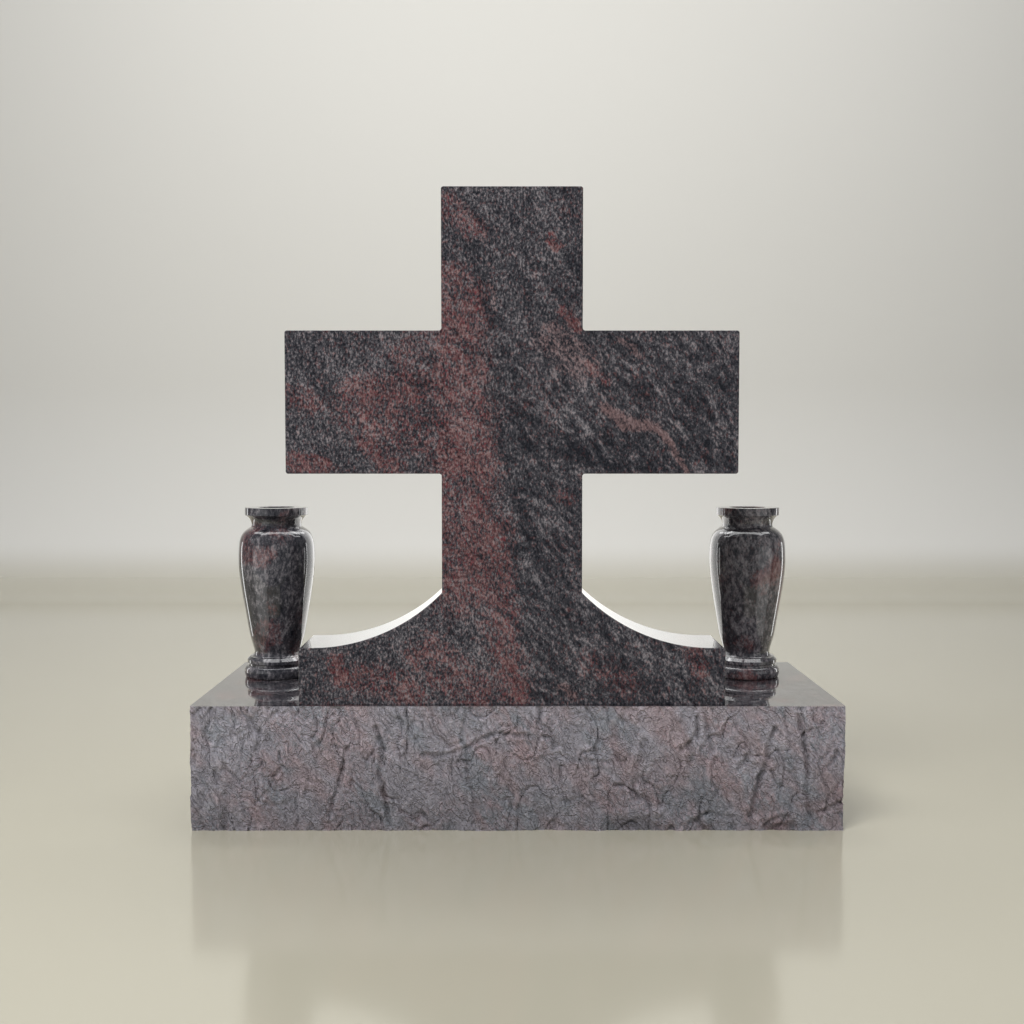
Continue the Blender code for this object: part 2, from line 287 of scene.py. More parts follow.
def model_cross(sizes):
    """The cross: an upright block, arms and a flared foot drawn out of its sides, and eased edges."""
    shaft = sizes.upright_width / 2
    arm = (CROSS_HIGH.x - CROSS_LOW.x) / 2
    seat = CROSS_LOW.z
    arm_top = CROSS_HIGH.z - sizes.head_height
    arm_bottom = arm_top - sizes.crossbar_height
    curve = foot_curve(sizes)
    curve.append((sizes.foot_width / 2, sizes.foot_end_height))
    low = Vector((CENTRE_X - shaft, CROSS_LOW.y, seat))
    high = Vector((CENTRE_X + shaft, CROSS_HIGH.y, CROSS_HIGH.z))
    piece = add_box("cross_finish", low, high)
    bpy.ops.object.mode_set(mode="EDIT")
    for height in (arm_bottom, arm_top, seat + curve[0][1]):
        bisect_level(height)

    def side_face(side, reach, bottom, top):
        def test(face):
            middle = face.calc_center_median()
            at_side = abs((middle.x - CENTRE_X) * side - reach) < TINY
            return at_side and face.normal.x * side > SQUARE and bottom < middle.z < top

        return test

    for side in (-1, 1):
        # The arm is drawn out of the upright's side
        select_where("FACE", side_face(side, shaft, arm_bottom, arm_top))
        extrude((side * (arm - shaft), 0.0, 0.0))
        # The flared foot is drawn out step by step, and the top edge drops to the hollow curve
        reach, top = curve[0]
        for next_reach, next_top in curve[1:]:
            select_where("FACE", side_face(side, reach, seat, seat + curve[0][1]))
            extrude((side * (next_reach - reach), 0.0, 0.0))
            edge_x = CENTRE_X + side * next_reach
            edge_z = seat + top
            select_where("VERT", lambda vert: abs(vert.co.x - edge_x) < TINY and abs(vert.co.z - edge_z) < TINY)
            bpy.ops.transform.translate(value=(0.0, 0.0, next_top - top))
            reach, top = next_reach, next_top

    # Faces that lie flat together become one
    bpy.ops.mesh.select_mode(type="FACE")
    bpy.ops.mesh.select_all(action="SELECT")
    bpy.ops.mesh.dissolve_limited(angle_limit=math.radians(0.2))

    def across(edge):
        return abs(edge.verts[0].co.y - edge.verts[1].co.y) > sizes.arris and len(edge.link_faces) == 2

    def junction(edge):
        place = edge.verts[0].co
        at_shaft = abs(abs(place.x - CENTRE_X) - shaft) < TINY
        return across(edge) and at_shaft and abs(place.z - seat - curve[0][1]) < TINY

    def corner(edge):
        if not across(edge) or junction(edge) or abs(edge.verts[0].co.z - seat) < TINY:
            return False
        return edge.calc_face_angle() > math.radians(60)

    select_where("EDGE", corner)
    bpy.ops.mesh.bevel(offset=sizes.corner_radius, segments=6, profile=0.5, affect="EDGES")
    select_where("EDGE", junction)
    bpy.ops.mesh.bevel(offset=sizes.corner_radius * sizes.junction_share, segments=4, profile=0.5, affect="EDGES")

    def outline(edge):
        if all(vert.co.z - seat < TINY for vert in edge.verts):
            return False
        upright = [abs(face.normal.y) > SQUARE for face in edge.link_faces]
        return len(upright) == 2 and upright[0] != upright[1]

    select_where("EDGE", outline)
    bpy.ops.mesh.bevel(offset=sizes.arris, segments=3, profile=0.5, affect="EDGES")
    finish_mesh(piece, 40)
    return piece


# Grooves in the plinth's front as points, half-width and depth, all in millimetres. The points lie across from the
# cross's centre line and up from the ground.
FRONT_GROOVES = (
    (((-275, 148), (-288, 137), (-301, 120)), 1.6, 1.6),
    (((-345, 115), (-352, 101), (-354, 80), (-352, 56)), 1.6, 1.8),
    (((-303, 140), (-309, 128), (-303, 117)), 3.2, 1.4),
    (((-300, 112), (-303, 92), (-297, 80)), 2.0, 1.8),
    (((-277, 92), (-273, 78), (-284, 64), (-291, 49), (-302, 37)), 1.6, 2.0),
    (((-271, 76), (-264, 58)), 2.2, 1.6),
    (((-247, 78), (-242, 66), (-246, 45)), 1.4, 1.4),
    (((-228, 93), (-236, 80), (-232, 68)), 1.5, 1.5),
    (((-196, 101), (-203, 70), (-211, 45), (-219, 18)), 1.9, 2.6),
    (((-242, 62), (-228, 57), (-213, 51)), 1.6, 1.6),
    (((-190, 146), (-186, 128), (-173, 100)), 1.6, 1.7),
    (((-161, 124), (-154, 99), (-158, 72), (-152, 40), (-146, 8)), 2.0, 2.8),
    (((-166, 86), (-156, 60)), 1.5, 1.4),
    (((-371, 42), (-373, 22), (-369, 3)), 3.0, 2.0),
    (((-343, 42), (-341, 24), (-345, 3)), 3.0, 2.0),
    (((-296, 31), (-270, 31)), 1.4, 1.3),
    (((-257, 55), (-257, 5)), 1.3, 1.2),
    (((-122, 110), (-126, 92), (-124, 80)), 1.4, 1.3),
    (((-106, 92), (-86, 90), (-66, 95), (-52, 101), (-42, 107), (-28, 116), (-8, 117), (20, 115)), 1.8, 2.4),
    (((-76, 101), (-60, 106)), 1.6, 1.5),
    (((-52, 100), (-54, 79), (-51, 56), (-47, 40), (-45, 18)), 1.8, 2.0),
    (((-56, 62), (-55, 30)), 1.4, 1.2),
    (((-55, 147), (-58, 128), (-61, 108)), 1.5, 1.4),
    (((-22, 114), (-14, 99), (-3, 95)), 1.7, 1.5),
    (((-30, 112), (-12, 128)), 1.5, 1.2),
    (((34, 148), (32, 128), (28, 94)), 1.8, 2.2),
    (((22, 143), (21, 95)), 1.5, 1.3),
    (((56, 82), (58, 63), (50, 55)), 1.4, 1.4),
    (((64, 87), (90, 84), (120, 82)), 1.6, 1.2),
    (((2, 75), (-4, 50)), 1.5, 1.3),
    (((60, 36), (82, 40), (96, 34)), 1.6, 1.3),
    (((158, 108), (153, 86), (150, 65), (144, 51), (147, 38)), 2.6, 2.0),
    (((220, 136), (221, 118), (213, 106), (202, 98)), 2.0, 2.8),
    (((214, 104), (212, 80)), 2.6, 1.5),
    (((229, 146), (233, 125), (238, 96)), 2.2, 2.2),
    (((242, 88), (237, 72), (239, 56), (246, 49), (237, 32), (233, 20)), 1.5, 1.8),
    (((281, 90), (275, 82), (270, 73)), 2.3, 3.4),
    (((313, 122), (306, 104), (305, 84), (302, 77), (296, 66), (293, 50), (289, 35), (284, 18)), 2.2, 3.4),
    (((327, 148), (325, 128), (331, 116), (330, 98)), 1.6, 1.5),
    (((342, 138), (346, 118), (350, 95), (353, 70), (351, 50), (356, 18)), 2.0, 2.8),
    (((356, 122), (346, 114)), 1.6, 1.6),
    (((387, 96), (382, 82), (372, 75)), 1.7, 1.8),
    (((396, 38), (385, 29), (367, 22)), 1.8, 2.2),
    (((300, 3), (308, 13), (330, 18)), 1.8, 2.2),
    (((190, 3), (215, 10), (234, 20), (262, 17)), 1.8, 1.8),
    (((120, 3), (150, 7), (182, 3)), 6.0, 3.0),
    (((310, 3), (328, 6), (334, 2)), 5.0, 2.4),
)


def groove_depths(across, up):
    """Depth, in metres, that the front's grooves add at each place, from the centre line and the ground."""
    waver_size, waver_reach, strength_size = 11.0, 2.0, 20.0
    weakest, strongest = 0.55, 1.3
    cut_spread, lip_place, lip_spread, lip_height = 1.5, 2.8, 1.1, 0.55
    share_cut, proudest, deepest = 0.62, -0.9, 4.2
    place = np.stack([across, up], axis=1) / MM
    waver = [[noise.noise(Vector((x / waver_size, y, z / waver_size))) for y in (0.0, 7.0)] for x, z in place]
    chance = np.array([noise.noise(Vector((x / strength_size, 4.0, z / strength_size))) for x, z in place])
    strength = share_cut * np.clip(1.0 + 0.9 * chance, weakest, strongest)
    place = place + waver_reach * np.array(waver)
    depth = np.zeros(len(across))
    for points, half_width, deep in FRONT_GROOVES:
        nearest = np.full(len(place), np.inf)
        for start, end in zip(points, points[1:]):
            start, run = np.array(start, float), np.subtract(end, start).astype(float)
            along = np.clip(((place - start) @ run) / (run @ run), 0.0, 1.0)
            nearest = np.minimum(nearest, np.linalg.norm(place - start - along[:, None] * run, axis=1))
        off = nearest / half_width
        # Stone is bruised up a little on both sides of each groove
        lip = lip_height * np.exp(-(((off - lip_place) / lip_spread) ** 2))
        depth = depth + deep * strength * (np.exp(-((off / cut_spread) ** 2)) - lip)
    return np.clip(depth, proudest, deepest) * MM


def smooth_step(value):
    value = min(1.0, max(0.0, value))
    return value * value * (3.0 - 2.0 * value)


def broad_depth(point, sizes):
    """The broad relief of the rock faces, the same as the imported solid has."""
    wave = noise.noise(point / sizes.rock_wave)
    spall = abs(noise.noise(point / sizes.spall_wave + Vector((3.7, 1.9, 8.2))))
    hollow = 0.30 - 0.80 * wave + 0.45 * spall
    draw_in = sizes.foot_draw_in * smooth_step(1.0 - point.z / sizes.foot_draw_height)
    return sizes.rock_depth * min(1.0, max(0.0, hollow)) + draw_in


def bell(value, spread, middle=0.0):
    return math.exp(-(((value - middle) / spread) ** 2))


def wrinkle_depth(point, sizes):
    """Fine relief of broken stone: winding rucks that mostly run upwards, and the tooth of crystals between them."""
    upward_draw, bend_size, bend_reach, wide_size = 0.55, 0.6, 0.9, 0.42
    at = Vector((point.x, point.y, upward_draw * point.z)) / sizes.wrinkle_size
    chances = ((0.0, 0.0, 0.0), (5.0, 2.0, 8.0), (9.0, 4.0, 1.0))
    at = at + bend_reach * Vector([noise.noise(at * bend_size + Vector(chance)) for chance in chances])
    wide = noise.noise(at * wide_size + Vector((7.0, 0.0, 2.0)))
    narrow = noise.noise(at + Vector((1.0, 6.0, 3.0)))
    # The stone stands a little proud on one side of each wide ruck
    rucks = bell(wide, 0.045) + 0.55 * bell(narrow, 0.075) - 0.45 * bell(wide, 0.05, 0.11)
    fade = smooth_step(0.55 + 1.6 * noise.noise(point / 0.07 + Vector((2.0, 8.0, 5.0))))
    tooth = sizes.tooth_depth * noise.noise(point / sizes.tooth_size)
    return sizes.wrinkle_depth * (rucks * (0.35 + 0.65 * fade) + 0.45 * narrow) + tooth


def model_plinth(sizes):
    """The plinth: a block whose four sides are divided finely and driven in, with a level top and underside."""
    piece = add_box("plinth_finish", PLINTH_LOW, PLINTH_HIGH)
    bpy.ops.object.mode_set(mode="EDIT")
    select_where("FACE", lambda face: abs(face.normal.z) > SQUARE)
    bpy.ops.mesh.delete(type="ONLY_FACE")

    def along(axis, test=lambda edge: True):
        def runs(edge):
            step = edge.verts[1].co - edge.verts[0].co
            return abs(step[axis]) > SQUARE * step.length and test(edge)

        return runs

    middle_y = (PLINTH_LOW.y + PLINTH_HIGH.y) / 2
    for runs, cells in (
        (along(0, lambda edge: edge.verts[0].co.y < middle_y), sizes.front_cells),
        (along(0, lambda edge: edge.verts[0].co.y > middle_y), sizes.back_cells),
        (along(1), sizes.end_cells),
        (along(2), sizes.height_cells),
    ):
        for division in cells:
            select_where("EDGE", runs)
            bpy.ops.mesh.subdivide(number_cuts=division - 1)
    bpy.ops.object.mode_set(mode="OBJECT")
    pitch_faces(piece, sizes)
    bpy.ops.object.mode_set(mode="EDIT")
    for level in (PLINTH_LOW.z, PLINTH_HIGH.z):
        select_where("EDGE", lambda edge: edge.is_boundary and abs(edge.verts[0].co.z - level) < TINY)
        bpy.ops.mesh.edge_face_add()
        bpy.ops.mesh.poke()
    finish_mesh(piece, 60, weighted=False)
    return piece


def round_corner(place, low, high, radius):
    """Where a point of the plinth's sides lies once the upright corners are rounded, and which way it faces."""
    side = np.array([-1.0 if place[0] < 0.0 else 1.0, -1.0 if place[1] < 0.0 else 1.0])
    inset = np.array([min(place[0] - low[0], high[0] - place[0]), min(place[1] - low[1], high[1] - place[1])])
    along = 0 if inset[1] < inset[0] else 1
    turn = math.pi / 4 * max(0.0, 1.0 - inset[along] / radius)
    if turn > 0.0:
        inset[along] = radius * (1.0 - math.sin(turn))
        inset[1 - along] = radius * (1.0 - math.cos(turn))
    facing = np.empty(2)
    facing[along], facing[1 - along] = math.sin(turn), math.cos(turn)
    corner = np.where(side < 0.0, low[:2], high[:2])
    return corner - side * inset, side * facing


def pitch_faces(piece, sizes):
    """Drives the plinth's four sides in to their broken relief, and notes how hollow each point is."""
    mesh = piece.data
    places = np.empty(len(mesh.vertices) * 3)
    mesh.vertices.foreach_get("co", places)
    places = places.reshape(-1, 3)
    low, high = np.array(PLINTH_LOW), np.array(PLINTH_HIGH)
    at_front = places[:, 1] - low[1] < TINY
    at_back = high[1] - places[:, 1] < TINY
    grooves = groove_depths(places[:, 0] - CENTRE_X, places[:, 2]) * at_front
    hollows = np.zeros(len(places), dtype=np.float32)
    # The corners are chipped unevenly as they go up, and the fine relief starts close under the arris
    chip_height, chip_range, fine_lead_in = 0.018, 0.8, 0.12 * sizes.lead_in
    for index, place in enumerate(places.copy()):
        point = Vector(place)
        chip = noise.noise(Vector((place[0] * 9.0, place[1] * 9.0, place[2] / chip_height)))
        rounding = sizes.corner_radius * (1.0 + chip_range * chip)
        standing, facing = round_corner(place, low, high, rounding)
        share_left = sizes.back_share if at_back[index] else 1.0
        broad = broad_depth(point, sizes) * share_left
        wrinkle = wrinkle_depth(point, sizes) * share_left
        to_top = high[2] - place[2]
        below_arris = smooth_step(to_top / sizes.lead_in)
        near_arris = smooth_step(to_top / fine_lead_in)
        depth = sizes.arris_setback + (broad - sizes.arris_setback) * below_arris
        depth = max(0.0, depth + (wrinkle + grooves[index]) * near_arris)
        places[index, :2] = standing - facing * depth
        # How deep each point lies in millimetres, which the broken stone's colour turns into painted shade in the
        # hollows and painted light on the groove lips
        hollows[index] = (grooves[index] + 0.7 * wrinkle) * near_arris / MM
    mesh.vertices.foreach_set("co", places.astype(np.float32).ravel())
    mesh.attributes.new("hollow", "FLOAT", "POINT").data.foreach_set("value", hollows)
    mesh.update()


def bezier(start, start_pull, end_pull, end, steps):
    """Points of a cubic curve after its start, up to and with its end."""
    points = []
    for index in range(1, steps + 1):
        t = index / steps
        s = 1.0 - t
        points.append(s**3 * start + 3 * s * s * t * start_pull + 3 * s * t * t * end_pull + t**3 * end)
    return points


def quarter(centre, reach_out, reach_up, from_angle, to_angle, steps):
    """Points of part of an ellipse, angles in quarter turns from +X towards +Z."""
    points = []
    for index in range(steps + 1):
        angle = math.pi / 2 * (from_angle + (to_angle - from_angle) * index / steps)
        points.append(centre + Vector((reach_out * math.cos(angle), reach_up * math.sin(angle))))
    return points


def vase_profile(sizes):
    """The vase's whole section as points of radius and height, from the foot over the rim to the bore's floor.

    The numbers by each rise are its curve's handles, as shares of the rise.
    """
    foot, groove = sizes.torus_foot_radius, sizes.groove_radius
    lower, upper = sizes.torus_middle, sizes.torus_height - sizes.torus_middle
    points = quarter(Vector((foot, lower)), sizes.torus_radius - foot, lower, -1.0, 0.0, 8)
    points += quarter(Vector((groove, lower)), sizes.torus_radius - groove, upper, 0.0, 1.0, 10)[1:]
    level = sizes.torus_height + sizes.groove_height
    points.append(Vector((groove, level)))
    points.append(Vector((sizes.collar_radius - sizes.collar_chamfer, level)))
    points.append(Vector((sizes.collar_radius, level + sizes.collar_chamfer)))
    level += sizes.collar_height
    points.append(Vector((sizes.collar_radius, level - sizes.collar_bevel)))
    points.append(Vector((sizes.collar_radius - sizes.collar_bevel, level)))
    cove = Vector((sizes.waist_radius + sizes.cove_width, level + sizes.cove_height))
    points += quarter(cove, sizes.cove_width, sizes.cove_height, 3.0, 2.0, 8)
    waist = points[-1]
    stem = waist + Vector((sizes.stem_radius - sizes.waist_radius, sizes.stem_height))
    lean = Vector((sizes.stem_slope, 1.0))
    rise = sizes.stem_height
    points += bezier(waist, waist + Vector((0.0, rise * 0.13)), stem - lean * (rise * 0.33), stem, 9)
    rise = sizes.swell_height
    belly = Vector((sizes.belly_radius, stem.y + rise))
    points += bezier(stem, stem + lean * (rise * 0.36), belly - Vector((0.0, rise * 0.25)), belly, 16)
    rise = sizes.shoulder_height
    neck_foot = Vector((sizes.neck_foot_radius, belly.y + rise))
    pull = neck_foot + Vector((sizes.belly_radius - sizes.neck_foot_radius, -rise * 0.18)) * 0.9
    points += bezier(belly, belly + Vector((0.0, rise * 0.6)), pull, neck_foot, 20)
    rise = sizes.neck_height
    rim_foot = Vector((sizes.rim_radius - sizes.rim_overhang, neck_foot.y + rise))
    inward = Vector((sizes.neck_foot_radius - sizes.neck_hollow, neck_foot.y + rise * 0.2))
    outward = Vector((sizes.neck_foot_radius, rim_foot.y - rise * 0.24))
    points += bezier(neck_foot, inward, outward, rim_foot, 12)
    rim_top = rim_foot.y + sizes.rim_height
    soft = sizes.rim_arris
    points += quarter(Vector((sizes.rim_radius - soft, rim_foot.y + soft)), soft, soft, -1.0, 0.0, 3)
    points += quarter(Vector((sizes.rim_radius - soft, rim_top - soft)), soft, soft, 0.0, 1.0, 3)
    mouth = Vector((sizes.bore_radius + sizes.bore_arris, rim_top - sizes.bore_arris))
    points += quarter(mouth, sizes.bore_arris, sizes.bore_arris, 1.0, 2.0, 4)
    points.append(Vector((sizes.bore_radius, sizes.bore_floor)))
    points.append(Vector((0.0, sizes.bore_floor)))
    return [Vector((0.0, 0.0))] + points


def model_vase(sizes):
    """The left vase: its section is drawn point by point and spun round its axis."""
    low, high = VASE_BOXES["left_vase"]
    axis = Vector(((low.x + high.x) / 2, (low.y + high.y) / 2, low.z))
    profile = vase_profile(sizes)
    start_piece()
    bpy.ops.mesh.primitive_plane_add(size=MM, location=axis)
    piece = bpy.context.object
    piece.name = "left_vase_finish"
    piece.data.name = piece.name
    bpy.ops.object.transform_apply(location=True, rotation=True, scale=True)
    bpy.ops.object.mode_set(mode="EDIT")
    bpy.ops.mesh.select_mode(type="VERT")
    bpy.ops.mesh.select_all(action="SELECT")
    bpy.ops.mesh.merge(type="CENTER")
    for before, after in zip(profile, profile[1:]):
        step = (after.x - before.x, 0.0, after.y - before.y)
        bpy.ops.mesh.extrude_vertices_move(TRANSFORM_OT_translate={"value": step})
    bpy.ops.mesh.select_all(action="SELECT")
    bpy.ops.mesh.spin(steps=sizes.turning_steps, angle=math.tau, center=axis, axis=(0.0, 0.0, 1.0))
    bpy.ops.mesh.select_all(action="SELECT")
    bpy.ops.mesh.remove_doubles(threshold=TINY)
    finish_mesh(piece, 32)
    return piece


def copy_vase(piece):
    """The right vase: a copy of the left one, with its own mesh, in its own place."""
    pick(piece)
    move = VASE_BOXES["right_vase"][0] - VASE_BOXES["left_vase"][0]
    bpy.ops.object.duplicate_move(TRANSFORM_OT_translate={"value": move})
    copy = bpy.context.object
    copy.name = "right_vase_finish"
    copy.data.name = copy.name
    bpy.ops.object.transform_apply(location=True, rotation=True, scale=True)
    return copy


# Materials


class Value:
    """A socket that takes part in Python arithmetic."""

    def __init__(self, recipe, socket):
        self.recipe = recipe
        self.socket = socket

    def __add__(self, other):
        return self.recipe.maths("ADD", self, other)

    __radd__ = __add__

    def __sub__(self, other):
        return self.recipe.maths("SUBTRACT", self, other)

    def __rsub__(self, other):
        return self.recipe.maths("SUBTRACT", other, self)

    def __mul__(self, other):
        return self.recipe.maths("MULTIPLY", self, other)

    __rmul__ = __mul__


class Recipe:
    """A material whose nodes are added by expressions."""

    def __init__(self, name):
        self.material = bpy.data.materials.new(name)
        self.material.use_nodes = True
        self.tree = self.material.node_tree
        self.shader = self.tree.nodes["Principled BSDF"]

    def node(self, kind, sockets=(), output=0, **settings):
        """Adds a node of this type, sets it up, feeds its sockets by name or number and gives one output."""
        made = self.tree.nodes.new(kind)
        for key, value in settings.items():
            if key == "stops":
                self.set_stops(made.color_ramp, value)
            else:
                setattr(made, key, value)
        for key, value in dict(sockets).items():
            self.feed(made.inputs[key], value)
        return Value(self, made.outputs[output])

    def set_stops(self, ramp, stops):
        while len(ramp.elements) < len(stops):
            ramp.elements.new(1.0)
        for element, (place, tint) in zip(ramp.elements, stops):
            element.position = place
            element.color = (*tint, 1.0)

    def feed(self, socket, value):
        if isinstance(value, Value):
            self.tree.links.new(value.socket, socket)
        elif socket.type == "RGBA" and len(value) == 3:
            socket.default_value = (*value, 1.0)
        else:
            socket.default_value = value

    def surface(self, sockets):
        """Feeds the shader's own sockets, with links for what varies and plain values for the rest."""
        for key, value in sockets.items():
            self.feed(self.shader.inputs[key], value)

    def maths(self, operation, first, second=0.0):
        return self.node("ShaderNodeMath", {0: first, 1: second}, operation=operation)

    def vector(self, operation, first, second=(0.0, 0.0, 0.0), output=0, **sockets):
        return self.node("ShaderNodeVectorMath", {0: first, 1: second, **sockets}, output, operation=operation)

    def blend(self, factor, first, second, kind="MIX"):
        sockets = {0: factor, 6: first, 7: second}
        return self.node("ShaderNodeMix", sockets, 2, data_type="RGBA", blend_type=kind)

    def remap(self, value, low, high, to_low=0.0, to_high=1.0):
        sockets = {"Value": value, "From Min": low, "From Max": high, "To Min": to_low, "To Max": to_high}
        return self.node("ShaderNodeMapRange", sockets, interpolation_type="SMOOTHSTEP")

    def place(self, location=(0.0, 0.0, 0.0), scale=(1.0, 1.0, 1.0)):
        """Object coordinates in millimetres from the location, drawn out along each axis."""
        source = self.node("ShaderNodeTexCoord", output="Object")
        millimetres = tuple(part / MM for part in scale)
        return self.vector("MULTIPLY", self.vector("SUBTRACT", source, location), millimetres)

    def turned(self, at, angle):
        """The place turned about the axis from front to back."""
        return self.node("ShaderNodeVectorRotate", {"Vector": at, "Angle": angle}, rotation_type="Y_AXIS")

    def shifted(self, at, way, reach=None):
        """The place moved along a vector, which is stretched by the reach."""
        if reach is not None:
            way = self.vector("SCALE", way, Scale=reach)
        return self.vector("ADD", at, way)

    def noise(self, at, size, detail=2.0, roughness=0.5, distortion=0.0, output=0):
        """Noise with patches of this size in millimetres, from 0 to 1."""
        sockets = {"Vector": at, "Scale": 1.0 / size, "Detail": detail, "Roughness": roughness}
        return self.node("ShaderNodeTexNoise", {**sockets, "Distortion": distortion}, output)

    def wander(self, at, size, roughness=0.5):
        """A vector that wanders over the stone, from -0.5 to 0.5 each way."""
        return self.vector("SUBTRACT", self.noise(at, size, 2.0, roughness, output="Color"), (0.5, 0.5, 0.5))

    def bump(self, height, distance, strength=1.0, **under):
        """Fine relief of this height over a distance in millimetres."""
        sockets = {"Height": height, "Strength": strength, "Distance": distance * MM, **under}
        return self.node("ShaderNodeBump", sockets)

    def part(self, value, output):
        return self.node("ShaderNodeSeparateXYZ", {"Vector": value}, output)


# Placed clouds and veins in the cross: start and end, in millimetres across from its centre line and up from the
# ground, half-width and strength
CROSS_RED = (
    (-66, 620, -62, 480, 42, 0.60),
    (-60, 480, -55, 300, 46, 0.62),
    (-15, 360, -12, 235, 22, 0.55),
    (-20, 250, 2, 165, 24, 0.50),
    (-4, 200, 9, 160, 10, 0.90),
    (-185, 522, -112, 528, 24, 0.60),
    (-180, 498, -90, 470, 34, 0.45),
    (-256, 440, -226, 437, 13, 0.80),
    (-175, 462, -138, 436, 15, 0.60),
    (-262, 522, -236, 508, 15, 0.45),
    (-130, 560, -90, 588, 22, 0.35),
    (-78, 742, -42, 712, 17, 0.45),
    (-72, 662, -48, 634, 18, 0.50),
    (-78, 622, -58, 598, 15, 0.65),
    (-175, 185, -120, 165, 22, 0.55),
    (-212, 204, -200, 178, 12, 0.65),
    (-100, 205, -45, 168, 32, 0.50),
    (60, 616, 74, 600, 8, 0.80),
    (88, 549, 112, 537, 9, 0.60),
    (213, 217, 226, 190, 12, 0.55),
    (96, 200, 135, 178, 20, 0.35),
    (44, 706, 50, 690, 6, 0.70),
    (60, 402, 70, 396, 8, 0.40),
)
CROSS_ROSE = (
    (112, 502, 134, 486, 9, 0.80),
    (134, 486, 172, 480, 8, 0.85),
    (172, 480, 187, 458, 6, 0.90),
    (187, 458, 207, 428, 4.5, 0.80),
    (48, 584, 84, 552, 26, 0.50),
    (128, 590, 150, 563, 4, 0.60),
    (-60, 746, -34, 700, 5, 0.35),
    (-26, 646, -18, 618, 2.5, 0.60),
    (58, 172, 72, 160, 7, 0.55),
    (-36, 560, -30, 500, 10, 0.25),
    (-90, 605, -40, 590, 12, 0.30),
)
CROSS_DARK = (
    (75, 452, 192, 442, 28, 0.95),
    (125, 474, 172, 466, 12, 0.70),
    (-46, 690, -18, 604, 11, 0.75),
    (-15, 556, 62, 524, 14, 0.50),
    (-12, 500, 72, 446, 24, 0.55),
    (8, 400, 30, 326, 9, 0.80),
    (30, 326, 78, 248, 10, 0.85),
    (14, 412, 62, 388, 12, 0.55),
    (24, 170, 62, 157, 13, 0.85),
    (71, 762, 73, 640, 16, 0.65),
    (72, 420, 77, 300, 11, 0.50),
    (95, 586, 200, 516, 38, 0.45),
    (205, 590, 258, 440, 38, 0.35),
    (-242, 572, -215, 520, 12, 0.60),
    (-262, 590, -150, 590, 13, 0.30),
    (-132, 548, -100, 530, 10, 0.45),
    (-46, 334, -34, 326, 7, 0.80),
    (-78, 258, -50, 224, 9, 0.50),
    (105, 192, 205, 166, 20, 0.40),
    (-256, 198, -242, 160, 12, 0.35),
    (20, 230, 40, 200, 12, 0.35),
)
CROSS_PALE = (
    (-24, 562, -4, 556, 3, 0.8),
    (-4, 556, 18, 542, 3, 0.9),
    (18, 542, 44, 528, 4, 0.7),
    (10, 402, 36, 392, 3, 0.8),
    (36, 392, 60, 374, 4, 0.6),
    (-26, 642, -18, 618, 2, 0.9),
    (8, 192, 22, 172, 3, 1.0),
    (22, 172, 50, 164, 3, 0.9),
    (70, 500, 120, 440, 4, 0.7),
    (84, 470, 108, 432, 3, 0.6),
    (-62, 742, -34, 700, 3, 0.6),
    (150, 566, 176, 508, 5, 0.45),
    (196, 566, 240, 500, 6, 0.40),
    (-212, 565, -190, 540, 10, 0.55),
    (-232, 552, -214, 545, 8, 0.50),
    (30, 470, 66, 420, 5, 0.40),
    (24, 330, 60, 268, 6, 0.35),
    (-6, 700, 40, 640, 8, 0.25),
    (-80, 165, -30, 240, 52, 0.45),
    (-48, 470, -50, 560, 26, 0.30),
)


def streaks(recipe, at, marks):
    """How strongly the strongest of the placed streaks shows at a point, from 0 to 1."""
    core, edge = 0.40, 1.35
    strongest = 0.0
    for start_x, start_z, end_x, end_z, half_width, strength in marks:
        run = Vector((end_x - start_x, 0.0, end_z - start_z))
        off = recipe.vector("SUBTRACT", at, (start_x, 0.0, start_z))
        along = recipe.vector("DOT_PRODUCT", off, tuple(run / run.length_squared), output="Value")
        kept = recipe.maths("MINIMUM", recipe.maths("MAXIMUM", along, 0.0), 1.0)
        nearest = recipe.vector("SCALE", tuple(run), Scale=kept)
        gap = recipe.vector("DISTANCE", off, nearest, output="Value")
        shown = recipe.remap(gap, half_width * edge, half_width * core, 0.0, strength)
        strongest = recipe.maths("MAXIMUM", strongest, shown)
    return strongest


def between(first, second, share_of_second):
    return tuple((1.0 - share_of_second) * a + share_of_second * b for a, b in zip(first, second))


# Sizes of the stone's larger patterns in millimetres, and how far the first two bend its grain
SWAY_SIZE, SWAY_REACH, SPECK_SWAY_REACH = 34.0, 18.0, 7.0
RIPPLE_SIZE, RIPPLE_REACH = 9.0, 2.2
CLOUD_SIZE, PATCH_SIZE, THREAD_SIZE, BLUSH_SIZE = 30.0, 9.0, 5.2, 60.0
# Sizes of its grains, as shares of the grain's size
SPECK, STREAK, GLINT, TUFT, CHANCE, GARNET = 0.76, 1.8, 0.7, 1.7, 1.0, 0.72


